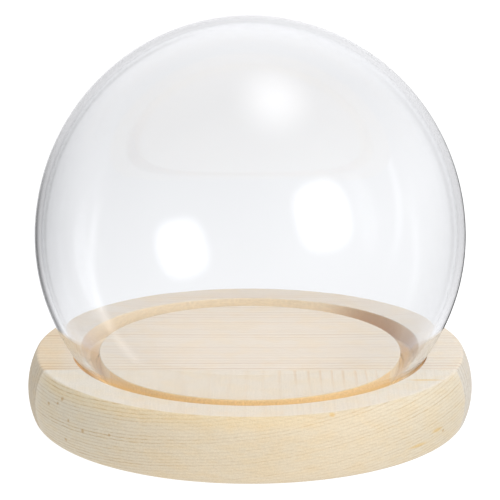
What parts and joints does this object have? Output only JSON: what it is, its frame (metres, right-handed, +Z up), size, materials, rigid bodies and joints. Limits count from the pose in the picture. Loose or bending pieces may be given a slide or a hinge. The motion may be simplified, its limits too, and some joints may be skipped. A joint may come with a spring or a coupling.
{
  "type": "bell jar dome",
  "caption": "Clear blown glass dome, nearly a ball, standing in the groove of a turned pine base. It lifts off to cover and show a small object.",
  "frame": {"origin": "centre of the base's underside", "axes": "+Z up along the axis of the glass and of the base, -Y the front, where the smaller board is"},
  "size_m": [0.1244, 0.1244, 0.1143],
  "materials": {
    "clear_glass": "polished, fire-polished lip",
    "pine_back": "fine sanded, bare, grain left to right",
    "pine_front": "fine sanded, bare, end grain on the side"
  },
  "bodies": {
    "base": {"base_board_back": "pine_back", "base_board_front": "pine_front"},
    "dome": {"glass_dome": "clear_glass"}
  },
  "joints": [
    {"name": "dome_lift", "type": "slide", "parent": "base", "child": "dome", "axis": [0, 0, 1], "range_m": [0, 0.11]}
  ]
}
